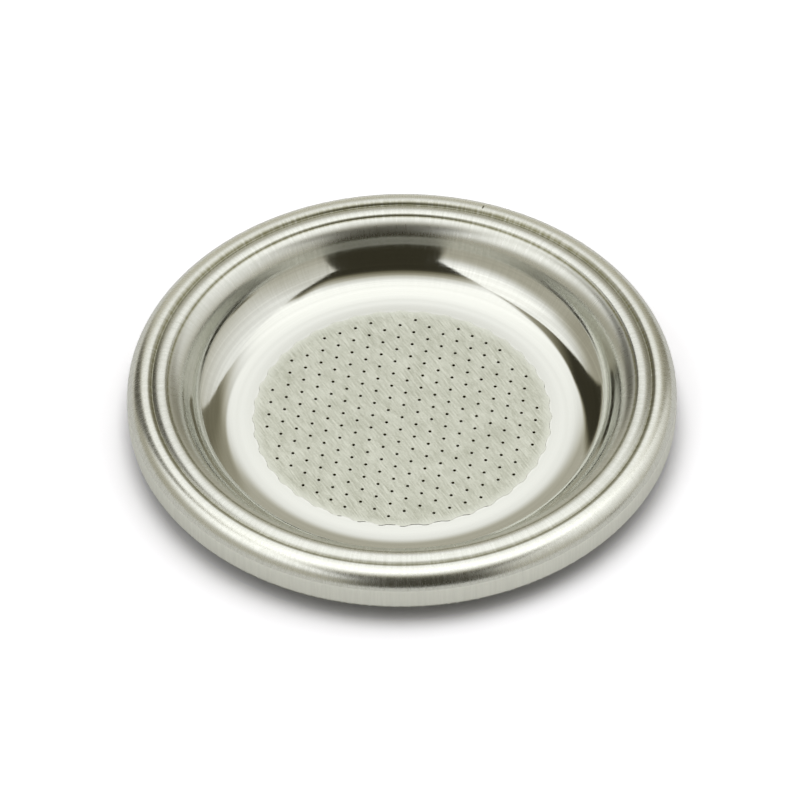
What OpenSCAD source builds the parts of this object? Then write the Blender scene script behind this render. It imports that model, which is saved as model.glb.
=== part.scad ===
// Filter basket for a paper coffee pod, drawn and rolled from one round of stainless sheet.
// Frame: origin on the axis, at the underside of the floor, +Z up through the open dish.
// Every bend is given by its radius on the upper face, and the sheet lies under that face.

/* [Sheet] */
// Thickness of the sheet
sheet_t = 0.6; // [0.4:0.05:0.65]
// Height from the underside of the floor to the top of the rim
basket_h = 7.5; // [7.3:0.05:7.7]

/* [Dish] */
// Width of the wall, from the flat floor to the crease at the top of its crest
wall_w = 8.57; // [8.1:0.01:9]
// Slope of the straight stretch of the wall above the floor, in degrees
wall_slope = 66.5; // [58:0.5:68]
// Radius of the crest at the top of the wall
crest_round = 3.1; // [2:0.1:3.6]
// Slope at which the crest runs into the crease, in degrees
crest_slope = 15; // [6:1:24]

/* [Bead in the rim] */
// Width of the bead, from the crease between it and the crest to the groove outside it
bead_w = 2.08; // [2:0.02:2.3]
// Slope of the step from the crease up to the bead, in degrees
step_slope = 50; // [40:1:58]
// Radius of the bead's inner edge, at the top of the step
step_round = 0.7; // [0.66:0.02:0.8]
// Radius of the bead across its top
bead_round = 2.2; // [2:0.1:2.6]
// Distance of the groove from the edge of the rim
groove_in = 3.2; // [3.1:0.02:3.4]
// Depth of the groove below the top of the rim
groove_depth = 0.32; // [0.24:0.02:0.36]
// Radius at the bottom of the crease and of the groove
groove_round = 0.12; // [0.1:0.02:0.2]
// Radius of the shoulder outside the groove
shoulder_round = 0.7; // [0.66:0.01:0.75]

/* [Rolled edge] */
// Diameter over the rolled edge
rim_d = 70; // [70:0.5:76]
// Radius of the bend from the top of the rim into the edge band
edge_round = 2.45; // [1.5:0.05:2.5]
// Height of the straight edge band
band_h = 1.9; // [1:0.1:2]
// Radius of the bend under the edge band
hem_round = 1; // [0.7:0.1:1.2]
// Length of the flat end of the sheet, turned in under the rim
hem_lip = 0.8; // [0.2:0.1:1.5]

/* [Perforated field] */
// Diameter of one hole at the face that the pod lies on
hole_d = 0.3; // [0.2:0.05:0.5]
// Spacing of the holes along a row
hole_pitch = 2.18; // [1.8:0.02:2.2]
// Least distance of the outermost holes from the foot of the wall
hole_margin = 3.6; // [3.6:0.1:12]
// Angle of one row of holes to the X axis
row_angle = 24; // [0:1:59]
// Width of the polished ring between the ground field and the foot of the wall
field_in = 2.25; // [2:0.05:2.6]
// Number of scallops round the edge of the ground field
scallops = 40; // [36:1:44]
// Radius of one scallop
scallop_round = 1.6; // [1.5:0.05:2]
// Distance that a scallop stands out from the round edge of the field
scallop_rise = 0.25; // [0.15:0.05:0.4]
// Rise of the ground field above the polished floor
field_rise = 0.05; // [0.02:0.01:0.1]

/* [Hidden] */
$fn = 96;
// Degrees of a bend between two points of the section
bend_step = 6;
// Length by which a hole's cut runs past each face
clear = 0.1;

// Radii of the section's rings, from the rim inwards
rim_r = rim_d / 2;
groove_r = rim_r - groove_in;
crease_r = groove_r - bead_w;
floor_r = crease_r - wall_w;

// Half width, at the middle of its flank, of a round that rises out of the groove
function reach(round) = sqrt(2 * (round + groove_round) * groove_depth - groove_depth * groove_depth);
// Slope of the flank where that round meets the groove
function flank(round) = acos(1 - groove_depth / (round + groove_round));

bead_flank = flank(bead_round);
shoulder_flank = flank(shoulder_round);
bead_r = groove_r - reach(bead_round);
shoulder_r = groove_r + reach(shoulder_round);
groove_c = basket_h - groove_depth + groove_round;
edge_r = rim_r - edge_round;
band_z = basket_h - edge_round;
hem_z = band_z - band_h;

// The bead starts at the slope that brings its inner edge down the step to the crease
step_in_r = crease_r + groove_round * (sin(step_slope) - sin(crest_slope));
bead_slope = asin((bead_r - step_in_r - step_round * sin(step_slope)) / (bead_round - step_round));
bead_drop = bead_round * (1 - cos(bead_slope));
step_drop = step_round * (cos(bead_slope) - cos(step_slope));
crease_drop = groove_round * (cos(crest_slope) - cos(step_slope));
crease_z = basket_h - bead_drop - step_drop - crease_drop;

// Centres of the bends at the crest, in the crease and at the bead's inner edge
crest_c = [crease_r, crease_z] + crest_round * [sin(crest_slope), -cos(crest_slope)];
crease_c = [crease_r, crease_z] - groove_round * [sin(crest_slope), -cos(crest_slope)];
step_c = crease_c + (groove_round + step_round) * [sin(step_slope), -cos(step_slope)];

// The wall runs from the flat floor to the crest at its own slope, and the hollow bend at its
// foot takes the radius that closes the section
crest_w = crest_c[0] - floor_r;
crest_h = crest_c[1] + crest_round - sheet_t;
wall_bends = (crest_w * sin(wall_slope) - crest_h * cos(wall_slope)) / (1 - cos(wall_slope));
foot_round = wall_bends - crest_round;
foot_c = [floor_r, sheet_t + foot_round];

function polar(radius, angle) = radius * [cos(angle), sin(angle)];

// Bends in order from the axis outwards. Each is the centre, the radius on the upper face,
// the side of the centre (1 above the sheet, -1 below it) and the angles where it starts and ends.
bends = [
    [foot_c, foot_round, 1, -90, wall_slope - 90],
    [crest_c, crest_round, -1, 90 + wall_slope, 90 + crest_slope],
    [crease_c, groove_round, 1, crest_slope - 90, step_slope - 90],
    [step_c, step_round, -1, 90 + step_slope, 90 + bead_slope],
    [[bead_r, basket_h - bead_round], bead_round, -1, 90 + bead_slope, 90 - bead_flank],
    [[groove_r, groove_c], groove_round, 1, -90 - bead_flank, shoulder_flank - 90],
    [[shoulder_r, basket_h - shoulder_round], shoulder_round, -1, 90 + shoulder_flank, 90],
    [[edge_r, band_z], edge_round, -1, 90, 0],
    [[rim_r - hem_round, hem_z], hem_round, -1, 0, -90]
];

function arc(centre, radius, from, to) =
    let (steps = ceil(abs(to - from) / bend_step))
    [for (k = [0 : steps]) centre + polar(radius, from + (to - from) * k / steps)];

// Line of the section at a depth under the upper face, from the axis to the cut edge of the sheet
function face_line(depth) = concat(
    [[0, sheet_t - depth]],
    [for (b = bends) each arc(b[0], b[1] + b[2] * depth, b[3], b[4])],
    [[rim_r - hem_round - hem_lip, hem_z - hem_round + depth]]
);

function reversed(points) = [for (k = [len(points) - 1 : -1 : 0]) points[k]];

module sheet() {
    rotate_extrude() polygon(concat(face_line(0), reversed(face_line(sheet_t))));
}

// Places of the holes: a triangular pattern with a hole on the axis, and as many rings of
// holes round it as the flat floor takes
hole_rings = floor((floor_r - hole_margin) / hole_pitch);
row = polar(hole_pitch, row_angle);
cross_row = polar(hole_pitch, row_angle + 60);
row_steps = ceil(2 / sqrt(3) * hole_rings);
holes = [
    for (i = [-row_steps : row_steps], j = [-row_steps : row_steps])
        let (p = i * row + j * cross_row)
        if (norm(p) <= (hole_rings + 0.01) * hole_pitch) p
];
// Ground face of the perforated field, with its round edge finely scalloped
module ground_field() {
    field_r = floor_r - field_in;
    linear_extrude(sheet_t + field_rise) {
        circle(field_r);
        for (k = [1 : scallops])
            translate(polar(field_r + scallop_rise - scallop_round, 360 * k / scallops))
                circle(scallop_round);
    }
}

module hole_cuts() {
    for (p = holes)
        translate([p[0], p[1], -clear])
            cylinder(d = hole_d, h = sheet_t + field_rise + 2 * clear, $fn = 24);
}

module filter_basket() {
    color("#c6c5ba")
    difference() {
        union() {
            sheet();
            ground_field();
        }
        hole_cuts();
    }
}

filter_basket();
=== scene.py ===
import math

import bpy
from mathutils import Matrix, Vector


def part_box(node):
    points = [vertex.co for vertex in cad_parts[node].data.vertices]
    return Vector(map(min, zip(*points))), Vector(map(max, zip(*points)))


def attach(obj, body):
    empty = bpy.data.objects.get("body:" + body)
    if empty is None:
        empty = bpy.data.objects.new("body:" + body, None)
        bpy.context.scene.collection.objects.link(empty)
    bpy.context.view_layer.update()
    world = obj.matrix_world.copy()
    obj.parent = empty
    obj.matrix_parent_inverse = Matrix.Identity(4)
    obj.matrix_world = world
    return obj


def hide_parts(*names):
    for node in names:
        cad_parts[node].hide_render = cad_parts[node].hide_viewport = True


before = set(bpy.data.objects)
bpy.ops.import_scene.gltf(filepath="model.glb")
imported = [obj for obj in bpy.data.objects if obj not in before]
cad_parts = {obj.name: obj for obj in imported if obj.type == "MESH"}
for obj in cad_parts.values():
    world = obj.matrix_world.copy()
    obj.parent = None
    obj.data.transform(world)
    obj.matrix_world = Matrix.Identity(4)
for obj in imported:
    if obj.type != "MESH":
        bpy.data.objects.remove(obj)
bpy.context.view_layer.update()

MM = 0.001

# Section of the basket, in millimetres. The rim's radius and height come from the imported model.
LOW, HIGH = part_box("filter_basket")
RIM_R = HIGH.x / MM
BASKET_H = HIGH.z / MM
SHEET = 0.6
FLOOR_R = 21.15
WALL_SLOPE = 66.5
CREST_ROUND = 3.1
CREST_SLOPE = 15
CREASE_R = 29.72
STEP_SLOPE = 50
STEP_ROUND = 0.7
BEAD_ROUND = 2.2
GROOVE_R = 31.8
GROOVE_DEPTH = 0.32
GROOVE_ROUND = 0.12
SHOULDER_ROUND = 0.7
EDGE_ROUND = 2.45
BAND_H = 1.9
HEM_ROUND = 1.0
HEM_LIP = 0.8

# Perforated field, in millimetres
HOLE_D = 0.3
HOLE_FLARE = 0.06
HOLE_PITCH = 2.18
HOLE_RINGS = 8
ROW_ANGLE = 24
FIELD_R = FLOOR_R - 2.25
SCALLOPS = 40
SCALLOP_ROUND = 1.6
SCALLOP_RISE = 0.25
FIELD_RISE = 0.05
# Place of the nick on the rim's edge
NICK = (10.7, 31.05)
# Grinding marks run across the rows, at this angle to the X axis
GRIND_ANGLE = -60

# Fineness of the mesh
TURN_STEPS = 240
FACE_STEP = 4
BACK_STEP = 8
FLAT_RING = 1.0
HOLE_SIDES = 16

# Camera, worked out from the photograph's frame
PHOTO_PX = 800
PX_PER_MM = 7.846
MIDDLE_PX = (402, 400.3)
VIEW_ELEVATION = 46
VIEW_ROLL = -0.45
LENS_MM = 450
SENSOR_MM = 36

# Strength of the light where the studio is at its full level
LIGHT_LEVEL = 1.5
# Brightness of the table to the camera: near the basket's foot, where a painted shadow darkens it, and where it is
# open and goes to white
TABLE_PAINTED_SHADOW = 0.76
TABLE_WHITE = 1.5


def srgb(code, alpha=1.0):
    """Linear colour of an sRGB hex code."""
    values = [int(code[i:i + 2], 16) / 255 for i in (1, 3, 5)]
    linear = [v / 12.92 if v <= 0.04045 else ((v + 0.055) / 1.055) ** 2.4 for v in values]
    return (*linear, alpha)


def add_node(tree, kind, inputs=None, **settings):
    """Adds a node with its settings, fills or links its inputs, and returns its outputs."""
    node = tree.nodes.new(kind)
    for name, value in settings.items():
        setattr(node, name, value)
    for socket, value in (inputs or {}).items():
        if isinstance(value, bpy.types.NodeSocket):
            tree.links.new(value, node.inputs[socket])
        else:
            node.inputs[socket].default_value = value
    return node.outputs


def polar(radius, angle):
    return Vector((math.cos(math.radians(angle)), math.sin(math.radians(angle)))) * radius


def along(slope):
    """Direction square to a sheet of this slope, away from the centre of a bend below it."""
    return Vector((-math.sin(math.radians(slope)), math.cos(math.radians(slope))))


def reach(radius):
    """Half width of a round that rises out of the groove, at the middle of its flank."""
    return math.sqrt(2 * (radius + GROOVE_ROUND) * GROOVE_DEPTH - GROOVE_DEPTH ** 2)


def flank(radius):
    """Slope of that round where it meets the groove."""
    return math.degrees(math.acos(1 - GROOVE_DEPTH / (radius + GROOVE_ROUND)))


def section_bends():
    """Bends from the floor out: centre, radius on the upper face, side, and start and end angles."""
    sin = lambda a: math.sin(math.radians(a))
    cos = lambda a: math.cos(math.radians(a))
    bead_flank = flank(BEAD_ROUND)
    shoulder_flank = flank(SHOULDER_ROUND)
    bead_r = GROOVE_R - reach(BEAD_ROUND)
    shoulder_r = GROOVE_R + reach(SHOULDER_ROUND)
    step_in_r = CREASE_R + GROOVE_ROUND * (sin(STEP_SLOPE) - sin(CREST_SLOPE))
    bead_slope = math.degrees(math.asin(
        (bead_r - step_in_r - STEP_ROUND * sin(STEP_SLOPE)) / (BEAD_ROUND - STEP_ROUND)))
    crease_z = BASKET_H - BEAD_ROUND * (1 - cos(bead_slope))
    crease_z -= STEP_ROUND * (cos(bead_slope) - cos(STEP_SLOPE))
    crease_z -= GROOVE_ROUND * (cos(CREST_SLOPE) - cos(STEP_SLOPE))
    crease = Vector((CREASE_R, crease_z))
    crest_c = crease - along(CREST_SLOPE) * CREST_ROUND
    crease_c = crease + along(CREST_SLOPE) * GROOVE_ROUND
    step_c = crease_c - along(STEP_SLOPE) * (GROOVE_ROUND + STEP_ROUND)
    wall_w = crest_c.x - FLOOR_R
    wall_h = crest_c.y + CREST_ROUND - SHEET
    wall_bends = (wall_w * sin(WALL_SLOPE) - wall_h * cos(WALL_SLOPE)) / (1 - cos(WALL_SLOPE))
    foot_round = wall_bends - CREST_ROUND
    foot_c = Vector((FLOOR_R, SHEET + foot_round))
    groove_c = Vector((GROOVE_R, BASKET_H - GROOVE_DEPTH + GROOVE_ROUND))
    band_z = BASKET_H - EDGE_ROUND
    return [
        (foot_c, foot_round, 1, -90, WALL_SLOPE - 90),
        (crest_c, CREST_ROUND, -1, 90 + WALL_SLOPE, 90 + CREST_SLOPE),
        (crease_c, GROOVE_ROUND, 1, CREST_SLOPE - 90, STEP_SLOPE - 90),
        (step_c, STEP_ROUND, -1, 90 + STEP_SLOPE, 90 + bead_slope),
        (Vector((bead_r, BASKET_H - BEAD_ROUND)), BEAD_ROUND, -1, 90 + bead_slope, 90 - bead_flank),
        (groove_c, GROOVE_ROUND, 1, -90 - bead_flank, shoulder_flank - 90),
        (Vector((shoulder_r, BASKET_H - SHOULDER_ROUND)), SHOULDER_ROUND, -1, 90 + shoulder_flank, 90),
        (Vector((RIM_R - EDGE_ROUND, band_z)), EDGE_ROUND, -1, 90, 0),
        (Vector((RIM_R - HEM_ROUND, band_z - BAND_H)), HEM_ROUND, -1, 0, -90),
    ]


def face_line(depth, step):
    """Line of the section at a depth under the upper face, from the flat floor to the cut edge."""
    points = [Vector((FLOOR_R - FLAT_RING, SHEET - depth))]
    for centre, radius, side, start, end in section_bends():
        count = math.ceil(abs(end - start) / step)
        for k in range(count + 1):
            point = centre + polar(radius + side * depth, start + (end - start) * k / count)
            if (point - points[-1]).length > 0.001:
                points.append(point)
    hem = section_bends()[-1]
    points.append(Vector((hem[0].x - HEM_LIP, hem[0].y - hem[1] + depth)))
    return points


def start_edit(select=True):
    bpy.ops.object.mode_set(mode="EDIT")
    bpy.ops.mesh.select_all(action="SELECT" if select else "DESELECT")


def deselect_objects():
    bpy.ops.object.select_all(action="DESELECT")


def named(name):
    piece = bpy.context.object
    piece.name = name
    piece.data.name = name
    return piece


def apply_place():
    bpy.ops.object.transform_apply(location=True, rotation=True, scale=True)


def cut_or_join(piece, tool, operation):
    """Applies a boolean of the tool to the piece, and removes the tool."""
    deselect_objects()
    bpy.context.view_layer.objects.active = piece
    modifier = piece.modifiers.new(operation.lower(), "BOOLEAN")
    modifier.operation = operation
    modifier.object = tool
    modifier.solver = "EXACT"
    bpy.ops.object.modifier_apply(modifier=modifier.name)
    bpy.data.objects.remove(tool)


def rolled_sheet():
    """The sheet's section drawn as a line of extrusions, spun round the axis, its floor filled."""
    front = face_line(0, FACE_STEP)
    back = face_line(SHEET, BACK_STEP)
    outline = front + back[::-1]
    deselect_objects()
    bpy.ops.mesh.primitive_plane_add(size=1)
    piece = named("basket_sheet")
    start_edit()
    bpy.ops.mesh.merge(type="CENTER")
    bpy.ops.transform.translate(value=(outline[0].x * MM, 0, outline[0].y * MM))
    for last, point in zip(outline, outline[1:]):
        run = point - last
        move = {"value": (run.x * MM, 0, run.y * MM)}
        bpy.ops.mesh.extrude_region_move(TRANSFORM_OT_translate=move)
    bpy.ops.mesh.select_all(action="SELECT")
    bpy.ops.mesh.spin(steps=TURN_STEPS, angle=math.tau, center=(0, 0, 0), axis=(0, 0, 1))
    bpy.ops.mesh.select_all(action="SELECT")
    bpy.ops.mesh.remove_doubles(threshold=0.0005 * MM)
    bpy.ops.mesh.select_all(action="DESELECT")
    bpy.ops.mesh.select_non_manifold()
    bpy.ops.mesh.fill_holes(sides=0)
    bpy.ops.mesh.select_all(action="SELECT")
    bpy.ops.mesh.normals_make_consistent(inside=False)
    bpy.ops.object.mode_set(mode="OBJECT")
    return piece


def hole_places():
    """Places of the holes: a triangular pattern with a hole on the axis."""
    row = polar(HOLE_PITCH, ROW_ANGLE)
    cross_row = polar(HOLE_PITCH, ROW_ANGLE + 60)
    row_steps = math.ceil(2 / math.sqrt(3) * HOLE_RINGS)
    span = range(-row_steps, row_steps + 1)
    places = [row * i + cross_row * j for i in span for j in span]
    return [p for p in places if p.length <= (HOLE_RINGS + 0.01) * HOLE_PITCH]


def field_edge(angle):
    """Radius of the ground field's round edge with its fine scallops."""
    turn = 360 / SCALLOPS
    off = math.radians((angle + turn / 2) % turn - turn / 2)
    middle = FIELD_R + SCALLOP_RISE - SCALLOP_ROUND
    bulge = SCALLOP_ROUND ** 2 - (middle * math.sin(off)) ** 2
    return max(FIELD_R, middle * math.cos(off) + math.sqrt(max(bulge, 0)))


def select_where(piece, test):
    """Selects in edit mode just the faces that pass the test."""
    start_edit(select=False)
    bpy.ops.mesh.select_mode(type="FACE")
    bpy.ops.object.mode_set(mode="OBJECT")
    for face in piece.data.polygons:
        face.select = test(face)
    bpy.ops.object.mode_set(mode="EDIT")


def ground_plate():
    """Slab that carries the ground field: a disc with its edge drawn out to the scallops."""
    depth = SHEET / 2
    deselect_objects()
    bpy.ops.mesh.primitive_cylinder_add(
        vertices=2 * TURN_STEPS, radius=HOLE_PITCH * HOLE_RINGS * MM,
        depth=(depth + FIELD_RISE) * MM, location=(0, 0, (SHEET + (FIELD_RISE - depth) / 2) * MM))
    plate = named("ground_plate")
    apply_place()
    for vertex in plate.data.vertices:
        angle = math.degrees(math.atan2(vertex.co.y, vertex.co.x))
        vertex.co.x, vertex.co.y = polar(field_edge(angle) * MM, angle)
    select_where(plate, lambda face: face.normal.z > 0.9)
    bpy.ops.mesh.bevel(offset=FIELD_RISE * 0.8 * MM, segments=1, affect="EDGES")
    bpy.ops.object.mode_set(mode="OBJECT")
    return plate


def hole_punches():
    """Punches for all the holes, each a plain round pin with a small flare at the upper face."""
    top = SHEET + FIELD_RISE
    deselect_objects()
    bpy.ops.mesh.primitive_cylinder_add(
        vertices=HOLE_SIDES, radius=HOLE_D / 2 * MM, depth=(top + HOLE_FLARE) * MM,
        location=(0, 0, (top - 3 * HOLE_FLARE) / 2 * MM))
    punch = named("hole_punches")
    apply_place()
    select_where(punch, lambda face: face.normal.z > 0.9)
    move = {"value": (0, 0, 2 * HOLE_FLARE * MM)}
    bpy.ops.mesh.extrude_region_move(TRANSFORM_OT_translate=move)
    spread = 1 + 4 * HOLE_FLARE / HOLE_D
    bpy.ops.transform.resize(value=(spread, spread, 1))
    bpy.ops.object.mode_set(mode="OBJECT")
    pattern = punch.data.copy()
    first, *others = hole_places()
    punch.data.transform(Matrix.Translation((first.x * MM, first.y * MM, 0)))
    for place in others:
        copy = bpy.data.objects.new("punch", pattern.copy())
        copy.data.transform(Matrix.Translation((place.x * MM, place.y * MM, 0)))
        bpy.context.scene.collection.objects.link(copy)
        copy.select_set(True)
    punch.select_set(True)
    bpy.context.view_layer.objects.active = punch
    bpy.ops.object.join()
    return punch


def basket():
    """The whole basket: rolled sheet, ground field and holes."""
    piece = rolled_sheet()
    cut_or_join(piece, ground_plate(), "UNION")
    cut_or_join(piece, hole_punches(), "DIFFERENCE")
    piece.select_set(True)
    bpy.ops.object.shade_smooth_by_angle(angle=math.radians(20))
    return piece


def steel(name):
    """A metal material with its tree, its shader and the place on the piece in millimetres."""
    material = bpy.data.materials.new(name)
    material.use_nodes = True
    tree = material.node_tree
    shader = tree.nodes["Principled BSDF"]
    shader.inputs["Metallic"].default_value = 1.0
    place = add_node(tree, "ShaderNodeTexCoord")["Object"]
    place = add_node(tree, "ShaderNodeVectorMath", {0: place, 1: (1 / MM,) * 3}, operation="MULTIPLY")[0]
    return material, tree, shader, place


def ramp(tree, value, start, end, low, high):
    inputs = {"Value": value, "From Min": start, "From Max": end, "To Min": low, "To Max": high}
    return add_node(tree, "ShaderNodeMapRange", inputs)[0]


def blend(tree, share, first, second):
    inputs = {"Factor": share, "A": first, "B": second}
    return add_node(tree, "ShaderNodeMix", inputs, data_type="RGBA")["Result"]


def axis_radius(tree, place):
    """Distance from the basket's axis, in millimetres."""
    flat = add_node(tree, "ShaderNodeVectorMath", {0: place, 1: (1, 1, 0)}, operation="MULTIPLY")[0]
    return flat, add_node(tree, "ShaderNodeVectorMath", {0: flat}, operation="LENGTH")["Value"]


def strokes_across(tree, place, flat, width, length):
    """Noise drawn out square to the rings, so that its strokes run up the wall and over the rim."""
    around = add_node(tree, "ShaderNodeVectorMath", {0: flat}, operation="NORMALIZE")[0]
    around = add_node(tree, "ShaderNodeVectorMath", {0: around, 1: (RIM_R / width,) * 3}, operation="MULTIPLY")[0]
    up = add_node(tree, "ShaderNodeVectorMath", {0: place, 1: (0, 0, 1 / length)}, operation="MULTIPLY")[0]
    where = add_node(tree, "ShaderNodeVectorMath", {0: around, 1: up}, operation="ADD")[0]
    return add_node(tree, "ShaderNodeTexNoise", {"Vector": where, "Scale": 1.0, "Detail": 3.0})[0]


def near_ring(tree, radius, ring, width):
    """1 on a ring of this radius, falling to 0 at the width on each side of it."""
    off = add_node(tree, "ShaderNodeMath", {0: radius, 1: ring}, operation="SUBTRACT")[0]
    off = add_node(tree, "ShaderNodeMath", {0: off}, operation="ABSOLUTE")[0]
    return ramp(tree, off, 0.0, width, 1.0, 0.0)


def polished_steel():
    """Bright drawn steel, mirror-like in the dish and hazier on the rim, with polishing compound and painted shade in
    its creases.
    """
    material, tree, shader, place = steel("polished_steel")
    flat, radius = axis_radius(tree, place)
    strokes = strokes_across(tree, place, flat, 0.3, 2)

    def times(first, second):
        return add_node(tree, "ShaderNodeMath", {0: first, 1: second}, operation="MULTIPLY")[0]

    # Fine marks of the polishing wheel, up the wall and over the rim but not on the floor
    marks = times(ramp(tree, strokes, 0.35, 0.65, 0, 1), ramp(tree, radius, FLOOR_R + 1, CREASE_R - 3, 0, 1))
    colour = blend(tree, marks, srgb("#dadbd4"), srgb("#d2d3cb"))
    # Faint rings of the floor's own polish
    rings = add_node(tree, "ShaderNodeTexNoise", {"W": radius, "Scale": 1.1, "Detail": 3.0}, noise_dimensions="1D")[0]
    colour = blend(tree, ramp(tree, rings, 0.4, 0.6, 0, 0.3), colour, srgb("#cccdc5"))
    # Fine grain, and a lighter, more even face towards the outer edge
    grain = add_node(tree, "ShaderNodeTexNoise", {"Vector": place, "Scale": 3.5, "Detail": 2.0})[0]
    worn = near_ring(tree, radius, RIM_R - 1.6, 1.0)
    colour = blend(tree, worn, colour, srgb("#ecede4"))
    rim_grain = times(ramp(tree, grain, 0.45, 0.7, 0, 0.25), ramp(tree, radius, CREASE_R - 2, CREASE_R, 0, 1))
    colour = blend(tree, rim_grain, colour, srgb("#bfc0b4"))
    # Dark olive lines in the crease and the groove: partly polishing compound left there, partly painted shade where
    # light is trapped in them
    crease = near_ring(tree, radius, CREASE_R + 0.08, 0.3)
    groove = near_ring(tree, radius, GROOVE_R + 0.15, 0.55)
    compound_and_painted_shade = add_node(tree, "ShaderNodeMath", {0: crease, 1: groove}, operation="MAXIMUM")[0]
    compound_and_painted_shade = times(compound_and_painted_shade, ramp(tree, strokes, 0.3, 0.6, 0.6, 0.9))
    colour = blend(tree, compound_and_painted_shade, colour, srgb("#7c7850"))
    # A nick on the edge of the rim
    off = add_node(tree, "ShaderNodeVectorMath", {0: flat, 1: (*NICK, 0)}, operation="SUBTRACT")[0]
    out = Vector(NICK).normalized()
    across = add_node(tree, "ShaderNodeVectorMath", {0: off, 1: (out.y / 0.1, -out.x / 0.1, 0)}, operation="DOT_PRODUCT")["Value"]
    along_nick = add_node(tree, "ShaderNodeVectorMath", {0: off, 1: (out.x / 0.35, out.y / 0.35, 0)}, operation="DOT_PRODUCT")["Value"]
    far = add_node(tree, "ShaderNodeMath", {0: times(across, across), 1: times(along_nick, along_nick)}, operation="ADD")[0]
    nick = ramp(tree, far, 0.6, 1.4, 1, 0)
    colour = blend(tree, nick, colour, srgb("#55513c"))
    # Turning rings of the press on the foot and the wall, as fine lines and as relief
    run = add_node(tree, "ShaderNodeSeparateXYZ", {0: place})["Z"]
    run = add_node(tree, "ShaderNodeMath", {0: run, 1: radius}, operation="ADD")[0]
    turned = add_node(tree, "ShaderNodeTexNoise", {"W": run, "Scale": 1.6, "Detail": 3.0}, noise_dimensions="1D")[0]
    wall = near_ring(tree, radius, (FLOOR_R + CREASE_R) / 2, 3.6)
    lines = times(ramp(tree, turned, 0.42, 0.58, 0, 0.25), wall)
    colour = blend(tree, lines, colour, srgb("#b9b8b0"))
    tree.links.new(colour, shader.inputs["Base Color"])
    # The dish is buffed brighter than the crest, and the crest than the rim
    haze = ramp(tree, radius, CREASE_R - 2.9, CREASE_R - 1.6, 0.07, 0.27)
    haze = add_node(tree, "ShaderNodeMath", {0: haze, 1: ramp(tree, radius, CREASE_R - 0.2, CREASE_R + 0.3, 0, 0.03)}, operation="SUBTRACT")[0]
    haze = add_node(tree, "ShaderNodeMath", {0: marks, 1: 0.05, 2: haze}, operation="MULTIPLY_ADD")[0]
    haze = add_node(tree, "ShaderNodeMath", {0: compound_and_painted_shade, 1: 0.15, 2: haze}, operation="MULTIPLY_ADD")[0]
    tree.links.new(haze, shader.inputs["Roughness"])
    # The floor rises slightly towards the field
    rise = {"Value": radius, "From Min": FIELD_R - 0.6, "From Max": FIELD_R + 1.6, "To Min": 0.045, "To Max": 0}
    rise = add_node(tree, "ShaderNodeMapRange", rise, interpolation_type="SMOOTHSTEP")[0]
    relief = add_node(tree, "ShaderNodeMath", {0: times(turned, wall), 1: 0.004, 2: rise}, operation="MULTIPLY_ADD")[0]
    bump = add_node(tree, "ShaderNodeBump", {"Height": relief, "Strength": 1.0, "Distance": MM})[0]
    tree.links.new(bump, shader.inputs["Normal"])
    return material


def ground_steel():
    """Belt-ground steel of the perforated field: grey, with straight fine lines to one side."""
    material, tree, shader, place = steel("belt_ground_steel")
    turn = {"Vector": place, "Angle": math.radians(-GRIND_ANGLE), "Axis": (0, 0, 1)}
    along_belt = add_node(tree, "ShaderNodeVectorRotate", turn)[0]
    lines = []
    for width, length in ((0.11, 1.8), (0.28, 6), (2.5, 3.5)):
        shrink = {0: along_belt, 1: (1 / length, 1 / width, 0)}
        drawn = add_node(tree, "ShaderNodeVectorMath", shrink, operation="MULTIPLY")[0]
        lines.append(add_node(tree, "ShaderNodeTexNoise", {"Vector": drawn, "Scale": 1.0, "Detail": 2.0})[0])
    # Close fine lines, with fainter broad ones, a fine grain and a little blotching under them
    grain = add_node(tree, "ShaderNodeTexNoise", {"Vector": place, "Scale": 4.5, "Detail": 2.0})[0]
    tone = add_node(tree, "ShaderNodeMath", {0: lines[1], 1: 0.5, 2: lines[0]}, operation="MULTIPLY_ADD")[0]
    tone = add_node(tree, "ShaderNodeMath", {0: lines[2], 1: 0.4, 2: tone}, operation="MULTIPLY_ADD")[0]
    tone = add_node(tree, "ShaderNodeMath", {0: grain, 1: 0.6, 2: tone}, operation="MULTIPLY_ADD")[0]
    colour = blend(tree, ramp(tree, tone, 1.0, 1.5, 0, 1), srgb("#b3b5a5"), srgb("#dddfd3"))
    # The belt wears its edge thinner and brighter
    flat, radius = axis_radius(tree, place)
    rim = ramp(tree, radius, FIELD_R - 1, FIELD_R + 0.1, 0, 0.75)
    colour = blend(tree, rim, colour, srgb("#e2e4da"))
    tree.links.new(colour, shader.inputs["Base Color"])
    shader.inputs["Roughness"].default_value = 0.42
    bump = add_node(tree, "ShaderNodeBump", {"Height": lines[0], "Strength": 0.25, "Distance": 0.00001})[0]
    tree.links.new(bump, shader.inputs["Normal"])
    return material


def satin_steel():
    """Satin steel of the edge band, with faint upright marks from the rolling."""
    material, tree, shader, place = steel("satin_steel")
    flat, radius = axis_radius(tree, place)
    strokes = strokes_across(tree, place, flat, 0.3, 6)
    colour = blend(tree, ramp(tree, strokes, 0.3, 0.7, 0, 1), srgb("#dfe0d7"), srgb("#e6e7de"))
    tree.links.new(colour, shader.inputs["Base Color"])
    shader.inputs["Roughness"].default_value = 0.35
    return material


def hole_wall_painted_shade():
    """Dull wall of a punched hole, coloured dark as painted shade, since little light gets into it."""
    material, tree, shader, place = steel("hole_wall_painted_shade")
    shader.inputs["Base Color"].default_value = srgb("#565339")
    shader.inputs["Roughness"].default_value = 0.6
    return material


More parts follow.
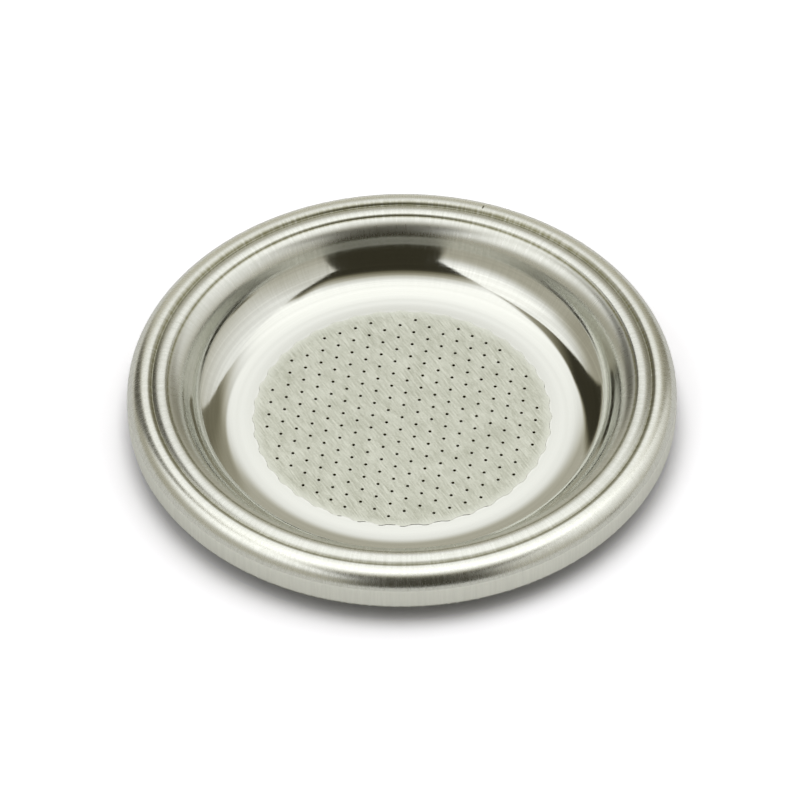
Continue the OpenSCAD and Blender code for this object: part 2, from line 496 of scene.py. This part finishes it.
def drawn_steel():
    """The underside as it leaves the press: an even, duller grey."""
    material, tree, shader, place = steel("drawn_steel")
    cloud = add_node(tree, "ShaderNodeTexNoise", {"Vector": place, "Scale": 0.5, "Detail": 4.0})[0]
    colour = blend(tree, cloud, srgb("#c0bfb4"), srgb("#cccbc0"))
    tree.links.new(colour, shader.inputs["Base Color"])
    shader.inputs["Roughness"].default_value = 0.28
    return material


FINISHES = (polished_steel, ground_steel, satin_steel, drawn_steel, hole_wall_painted_shade)


def face_finish(face, front, back):
    """Number of the finish on a face, from its place on the section."""
    spot = Vector((face.center.xy.length, face.center.z)) / MM
    if spot.x < FLOOR_R:
        if face.normal.z > 0.9 and spot.y > SHEET + FIELD_RISE / 2:
            return 1
        if abs(face.normal.z) < 0.9 and spot.x < FIELD_R - 0.5:
            return 4
        return 3 if face.normal.z < -0.9 else 0
    if min((spot - p).length for p in back) < min((spot - p).length for p in front):
        return 3
    return 2 if spot.x > RIM_R - 0.05 else 0


def camera():
    """Camera at the photograph's angle, far away behind a long lens."""
    data = bpy.data.cameras.new("camera")
    data.lens = LENS_MM
    data.sensor_width = SENSOR_MM
    data.clip_end = 50
    eye = bpy.data.objects.new("camera", data)
    bpy.context.scene.collection.objects.link(eye)
    bpy.context.scene.camera = eye
    elevation = math.radians(VIEW_ELEVATION)
    roll = math.radians(VIEW_ROLL)
    forward = Vector((0, math.cos(elevation), -math.sin(elevation)))
    level = Vector((1, 0, 0))
    upright = level.cross(forward)
    right = level * math.cos(roll) + upright * math.sin(roll)
    up = upright * math.cos(roll) - level * math.sin(roll)
    px = MM / PX_PER_MM
    aim = Vector((0, 0, BASKET_H / 2 * MM))
    aim -= right * (MIDDLE_PX[0] - PHOTO_PX / 2) * px
    aim += up * (MIDDLE_PX[1] - PHOTO_PX / 2) * px
    distance = PHOTO_PX * px * LENS_MM / SENSOR_MM
    turn = Matrix((right, up, -forward)).transposed().to_4x4()
    eye.matrix_world = Matrix.Translation(aim - forward * distance) @ turn


def studio():
    """Soft light from above and behind, a paper panel on each side, and a dark room in front."""
    world = bpy.data.worlds.new("studio")
    bpy.context.scene.world = world
    world.use_nodes = True
    tree = world.node_tree
    tree.nodes.clear()

    def math_node(operation, *values):
        return add_node(tree, "ShaderNodeMath", dict(enumerate(values)), operation=operation)[0]

    def edge(value, start, end):
        inputs = {"Value": value, "From Min": start, "From Max": end}
        return add_node(tree, "ShaderNodeMapRange", inputs, interpolation_type="SMOOTHSTEP")[0]

    def span(value, low, high, soft):
        rise = edge(value, low - soft, low + soft)
        return math_node("MULTIPLY", rise, edge(value, high + soft, high - soft))

    def lay(mask, level, under):
        return math_node("MULTIPLY_ADD", mask, math_node("SUBTRACT", level, under), under)

    towards = add_node(tree, "ShaderNodeTexCoord")["Generated"]
    axes = add_node(tree, "ShaderNodeSeparateXYZ", {0: towards})
    x, y, z = axes["X"], axes["Y"], axes["Z"]
    height = math_node("DEGREES", math_node("ARCSINE", z))
    turn = math_node("DEGREES", math_node("ARCTAN2", x, math_node("MULTIPLY", y, -1)))
    aside = math_node("MAXIMUM", math_node("ABSOLUTE", x), 0.001)
    above = math_node("MAXIMUM", z, 0.01)
    back_share = math_node("DIVIDE", y, aside)
    up_share = math_node("DIVIDE", z, aside)

    # Dark room, with some light from the table's far parts low down
    low_light = math_node("MULTIPLY", edge(height, 12, 6), edge(y, -0.1, 0.3))
    room = math_node("MULTIPLY_ADD", low_light, 0.5, 0.03)
    glow = math_node("MULTIPLY", edge(height, 44, 60), edge(back_share, -0.6, 0.3))
    room = math_node("MULTIPLY_ADD", glow, 0.22, room)
    # White sweep behind the basket, which runs up into the light overhead
    sweep = math_node("MULTIPLY_ADD", edge(height, 26, 50), 0.45, 0.37)
    sweep = math_node("MULTIPLY_ADD", edge(height, 44, 66), 0.14, sweep)
    lean = math_node("DIVIDE", x, above)
    shown = math_node("MAXIMUM", edge(lean, -0.53, -0.44), edge(back_share, 1.5, 1.9))
    right_side = math_node("MAXIMUM", edge(lean, 0.62, 0.44), edge(back_share, -0.3, 0.1))
    shown = math_node("MULTIPLY", shown, right_side)
    shown = math_node("MULTIPLY", shown, edge(math_node("DIVIDE", y, above), -0.6, 0.05))
    level = lay(shown, sweep, room)
    right_gap = math_node("MULTIPLY", span(turn, 132, 160, 3), edge(height, 58, 34))
    level = lay(right_gap, math_node("MULTIPLY_ADD", edge(turn, 144, 156), 0.12, 0.14), level)
    # Paper panel on the left, with its upper corner rounded off towards the back
    corner = math_node("POWER", math_node("DIVIDE", math_node("MAXIMUM", math_node("ADD", back_share, 1), 0), 1.71), 2.5)
    corner = math_node("ADD", corner, math_node("POWER", math_node("MAXIMUM", math_node("DIVIDE", up_share, 2.15), 0), 2.5))
    left = math_node("MULTIPLY", edge(corner, 1.06, 0.96), edge(back_share, -2.85, -2.65))
    left = math_node("MULTIPLY", left, edge(x, 0.01, -0.01))
    left_level = math_node("MULTIPLY_ADD", edge(height, 20, 47), 0.61, 0.37)
    left_level = math_node("MULTIPLY", left_level, math_node("MULTIPLY_ADD", edge(turn, -100, -84), 0.15, 0.85))
    level = lay(left, left_level, level)
    # Paper panel on the right, lower and dimmer towards the front
    right = math_node("MULTIPLY", span(back_share, -1.38, 0.96, 0.03), edge(up_share, 1.54, 1.46))
    right = math_node("MULTIPLY", right, edge(x, -0.01, 0.01))
    right = math_node("MULTIPLY", right, math_node("MAXIMUM", edge(height, 5, 9), edge(turn, 82, 70)))
    right_level = ramp(tree, height, 0, 50, 0.43, 0.77)
    right_level = math_node("MULTIPLY", right_level, math_node("MULTIPLY_ADD", edge(turn, 56, 82), 0.2, 0.8))
    level = lay(right, right_level, level)

    # The dimmer, the warmer
    tint = add_node(tree, "ShaderNodeMix", {
        "Factor": edge(level, -0.3, 0.8), "A": srgb("#fff1b4"), "B": srgb("#ffffff")}, data_type="RGBA")
    light = add_node(tree, "ShaderNodeBackground", {
        "Color": tint["Result"], "Strength": math_node("MULTIPLY", level, LIGHT_LEVEL)})
    white = add_node(tree, "ShaderNodeBackground", {"Strength": 1.0})
    path = add_node(tree, "ShaderNodeLightPath")
    mix = add_node(tree, "ShaderNodeMixShader", {0: path["Is Camera Ray"], 1: light[0], 2: white[0]})
    add_node(tree, "ShaderNodeOutputWorld", {0: mix[0]})


def table():
    """Plain white floor that keeps the basket's shadow, with a painted shadow darkening it towards the basket's foot.
    """
    deselect_objects()
    bpy.ops.mesh.primitive_plane_add(size=6, location=(0, 0, LOW.z - 0.01 * MM))
    floor = named("table")
    apply_place()
    material = bpy.data.materials.new("white_table")
    material.use_nodes = True
    tree = material.node_tree
    tree.nodes.clear()
    # Exposed to white for the camera alone, so that no more light comes up to the basket, and darkened towards the
    # basket's foot by a painted shadow that deepens the contact shadow
    path = add_node(tree, "ShaderNodeLightPath")
    place = add_node(tree, "ShaderNodeTexCoord")["Object"]
    place = add_node(tree, "ShaderNodeVectorMath", {0: place, 1: (1 / MM,) * 3}, operation="MULTIPLY")[0]
    flat, radius = axis_radius(tree, place)
    inputs = {"Value": radius, "From Min": RIM_R - 2, "From Max": RIM_R + 2,
              "To Min": TABLE_PAINTED_SHADOW, "To Max": TABLE_WHITE}
    paper_with_painted_shadow = add_node(tree, "ShaderNodeMapRange", inputs, interpolation_type="SMOOTHSTEP")[0]
    paper_with_painted_shadow = add_node(tree, "ShaderNodeVectorMath", {0: paper_with_painted_shadow, 1: srgb("#fafaff")[:3]}, operation="MULTIPLY")[0]
    tone = blend(tree, path["Is Camera Ray"], (0.9, 0.9, 0.9, 1), paper_with_painted_shadow)
    cloth = add_node(tree, "ShaderNodeBsdfDiffuse", {"Color": tone})
    add_node(tree, "ShaderNodeOutputMaterial", {0: cloth[0]})
    floor.data.materials.append(material)


def dress(piece):
    """Gives every face its finish, hides the imported basket and hangs the piece on the root body."""
    for finish in FINISHES:
        piece.data.materials.append(finish())
    front = face_line(0, BACK_STEP / 2)
    back = face_line(SHEET, BACK_STEP / 2)
    known = {}
    for face in piece.data.polygons:
        key = (round(face.center.xy.length, 6), round(face.center.z, 6), round(face.normal.z, 2))
        if key not in known:
            known[key] = face_finish(face, front, back)
        face.material_index = known[key]
    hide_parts("filter_basket")
    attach(piece, "root")


camera()
studio()
table()
dress(basket())
bpy.context.scene.view_settings.view_transform = "Standard"
